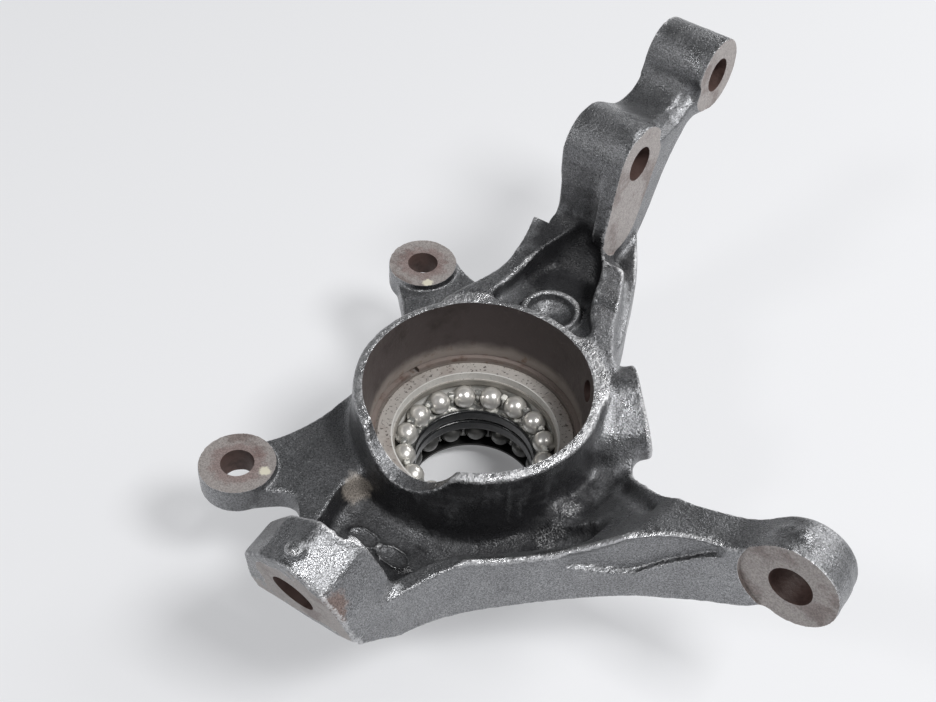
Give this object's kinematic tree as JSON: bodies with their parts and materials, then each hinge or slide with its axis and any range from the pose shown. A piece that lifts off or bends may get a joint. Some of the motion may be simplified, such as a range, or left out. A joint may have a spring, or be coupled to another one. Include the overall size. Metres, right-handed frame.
{
  "type": "steering knuckle",
  "caption": "Cast steering knuckle with strut arm, steering arm, ball-joint block and caliper ears, the hub bearing still pressed in.",
  "frame": {"origin": "on the hub axis at the outboard face of the hub, which is the face the part rests on", "axes": "+Z along the hub axis towards the inboard rim, +X along the strut bolts, +Y towards the strut arm"},
  "size_m": [0.2274, 0.2854, 0.1279],
  "materials": {
    "casting": "rough cast, dark, machined faces lightly rusted",
    "bearing_ring": "ground steel with light rust specks",
    "snap_ring": "spring steel, brown with rust",
    "cage": "greasy off-white moulding",
    "ball": "polished steel",
    "seal": "black rubber"
  },
  "bodies": {
    "knuckle": {"knuckle_casting": "casting", "bearing_outer_ring": "bearing_ring", "snap_ring": "snap_ring", "outboard_seal": "seal"},
    "inboard_row": {"inboard_ball_cage": "cage", "inboard_ball_01": "ball", "inboard_ball_02": "ball", "inboard_ball_03": "ball", "inboard_ball_04": "ball", "inboard_ball_05": "ball", "inboard_ball_06": "ball", "inboard_ball_07": "ball", "inboard_ball_08": "ball", "inboard_ball_09": "ball", "inboard_ball_10": "ball", "inboard_ball_11": "ball", "inboard_ball_12": "ball", "inboard_ball_13": "ball", "inboard_ball_14": "ball", "inboard_ball_15": "ball", "inboard_ball_16": "ball"},
    "outboard_row": {"outboard_ball_cage": "cage", "outboard_ball_01": "ball", "outboard_ball_02": "ball", "outboard_ball_03": "ball", "outboard_ball_04": "ball", "outboard_ball_05": "ball", "outboard_ball_06": "ball", "outboard_ball_07": "ball", "outboard_ball_08": "ball", "outboard_ball_09": "ball", "outboard_ball_10": "ball", "outboard_ball_11": "ball", "outboard_ball_12": "ball", "outboard_ball_13": "ball", "outboard_ball_14": "ball", "outboard_ball_15": "ball", "outboard_ball_16": "ball"}
  },
  "joints": [
    {"name": "inboard_row_turn", "type": "hinge", "parent": "knuckle", "child": "inboard_row", "pos_m": [0, 0, 0.0334], "axis": [0, 0, 1], "continuous": true},
    {"name": "outboard_row_turn", "type": "hinge", "parent": "knuckle", "child": "outboard_row", "pos_m": [0, 0, 0.0146], "axis": [0, 0, 1], "continuous": true}
  ]
}
